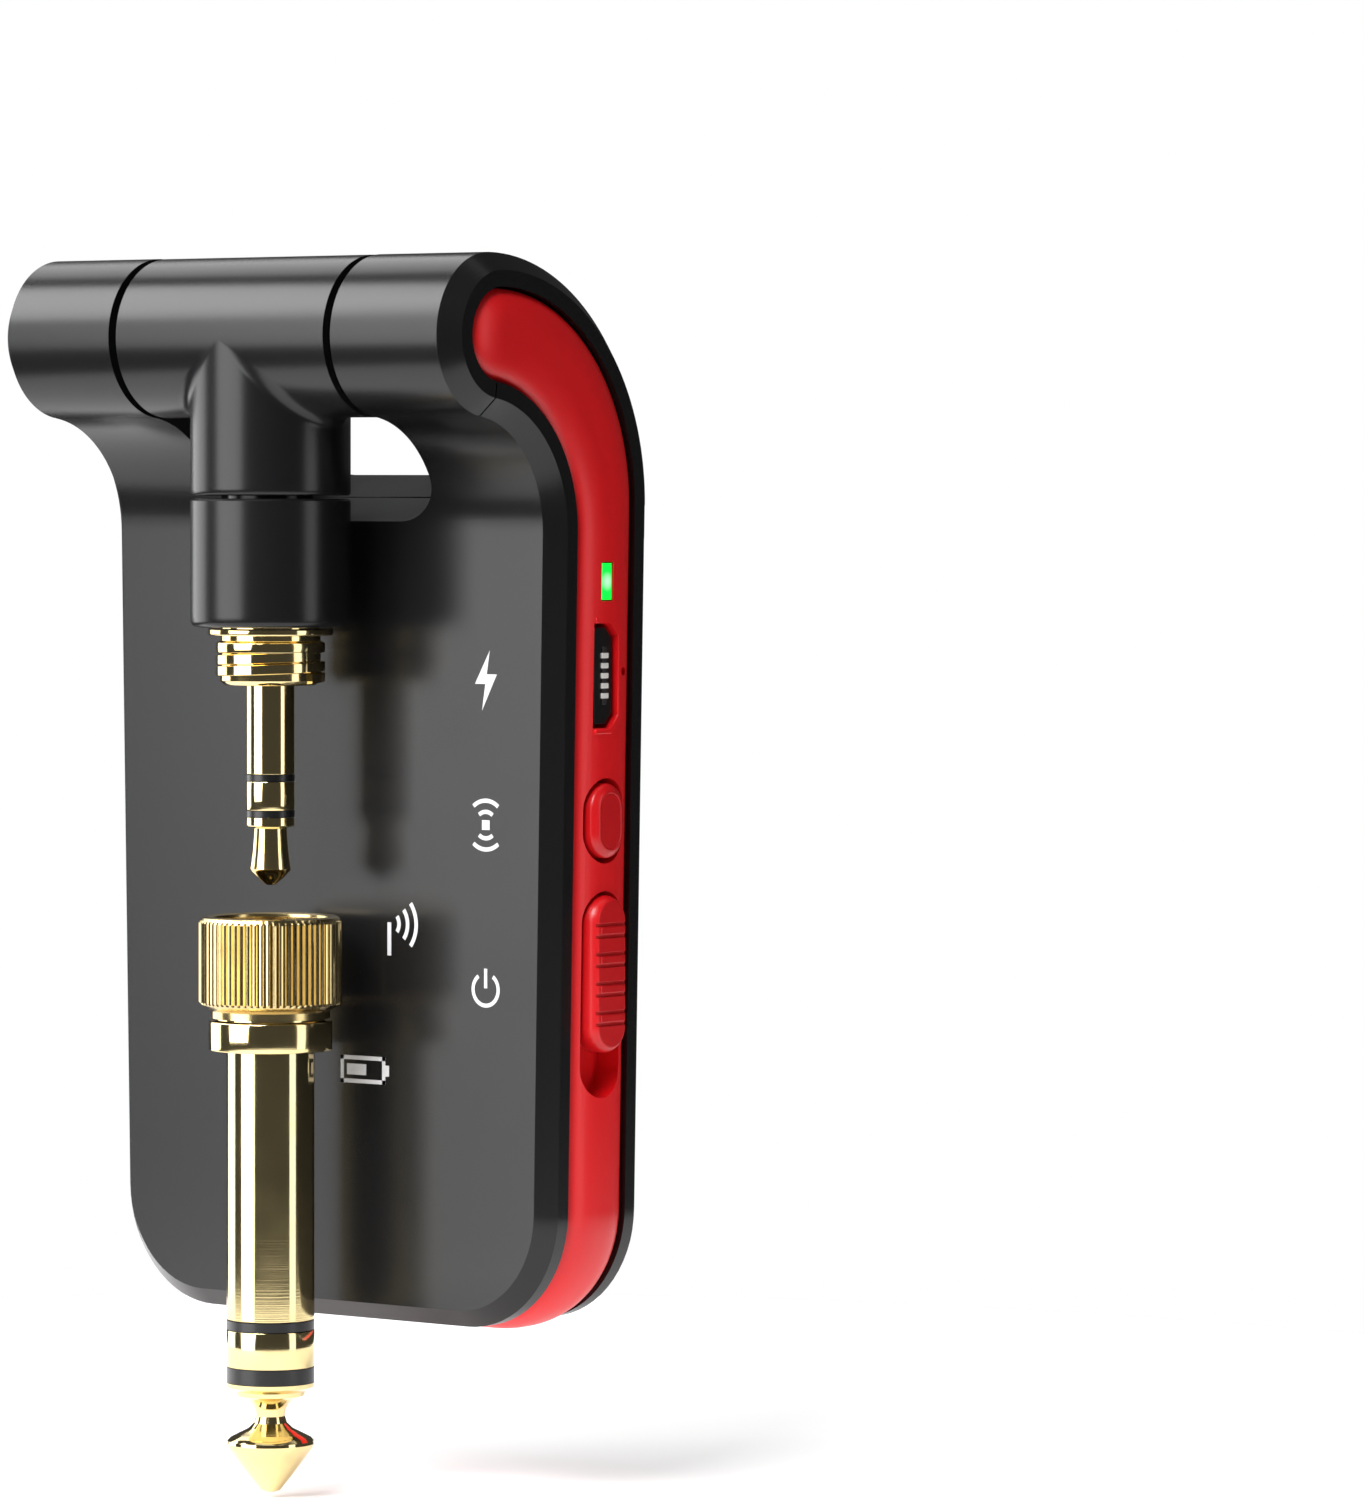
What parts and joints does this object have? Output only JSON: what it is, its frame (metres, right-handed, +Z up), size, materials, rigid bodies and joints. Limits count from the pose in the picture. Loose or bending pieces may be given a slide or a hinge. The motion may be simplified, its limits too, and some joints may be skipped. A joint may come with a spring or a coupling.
{
  "type": "wireless guitar transmitter",
  "caption": "Pocket plug-on audio transmitter: hinged arm with a small stereo plug, screw-on jack adapter, coloured band with light, charging port, button and slider.",
  "frame": {"origin": "middle of the bottom of the part's box, level with the tip of the hanging adapter", "axes": "+Z up towards the hinge, +Y from the plug side to the cover, X along the hinge with the controls on +X"},
  "size_m": [0.0438, 0.0238, 0.0891],
  "materials": {
    "black_shell": "fine satin black moulding, near gloss",
    "red_band": "satin red moulding",
    "gold_plate": "polished gold plating over brass",
    "black_insulator": "black moulded insulator",
    "steel": "plain plated steel",
    "light_window": "clear window lit green",
    "friction_rubber": "black friction rubber",
    "lead_sleeve": "black lead sleeve",
    "board_green": "solder mask",
    "battery_foil": "laminated pouch foil",
    "foam": "dark closed-cell foam",
    "antenna_copper": "thin copper strip",
    "chip_black": "moulded black plastic"
  },
  "bodies": {
    "casing": {"cover_shell": "black_shell", "plug_side_shell": "black_shell", "mid_frame": "red_band", "light_pipe": "light_window", "main_board": "board_green", "battery": "battery_foil", "battery_pad": "foam", "battery_lead": "lead_sleeve", "radio_shield": "steel", "antenna": "antenna_copper", "codec_chip": "chip_black", "charge_chip": "chip_black", "status_led": "light_window", "usb_socket": "steel", "usb_tongue": "chip_black", "pair_switch_body": "chip_black", "power_switch_body": "steel", "plug_lead_body": "lead_sleeve", "friction_ring_left": "friction_rubber", "friction_ring_right": "friction_rubber", "hinge_washer_left": "steel", "hinge_washer_right": "steel", "board_screw_1": "steel", "board_screw_2": "steel", "board_screw_3": "steel", "board_screw_4": "steel"},
    "plug_arm": {"hinge_knuckle": "black_shell", "arm_collar": "black_shell", "hinge_shaft_left": "steel", "hinge_shaft_right": "steel", "hinge_clip_left": "steel", "hinge_clip_right": "steel", "plug_sleeve": "gold_plate", "plug_washer": "gold_plate", "plug_insulator": "black_insulator", "plug_ring": "gold_plate", "plug_tip": "gold_plate", "plug_lead_arm": "lead_sleeve"},
    "adapter": {"adapter_knurled_sleeve": "gold_plate", "adapter_barrel": "gold_plate", "adapter_liner": "black_insulator", "adapter_insulator": "black_insulator", "adapter_ring": "gold_plate", "adapter_tip": "gold_plate"},
    "pair_button": {"pair_button": "red_band", "pair_switch_plunger": "black_insulator"},
    "power_slider": {"power_slider": "red_band", "power_switch_lever": "black_insulator"}
  },
  "joints": [
    {"name": "plug_arm_hinge", "type": "hinge", "parent": "casing", "child": "plug_arm", "pos_m": [-0.00013, -0.0061, 0.08332], "axis": [-1, 0, 0], "range_deg": [0, 270]},
    {"name": "adapter_slide", "type": "slide", "parent": "plug_arm", "child": "adapter", "axis": [0, 0, 1], "range_m": [0, 0.0199]},
    {"name": "pair_button_press", "type": "slide", "parent": "casing", "child": "pair_button", "axis": [-1, 0, 0], "range_m": [0, 0.0004], "stiffness_N_per_m": 1500},
    {"name": "power_slider_slide", "type": "slide", "parent": "casing", "child": "power_slider", "axis": [0, 0, -1], "range_m": [0, 0.0026]}
  ]
}
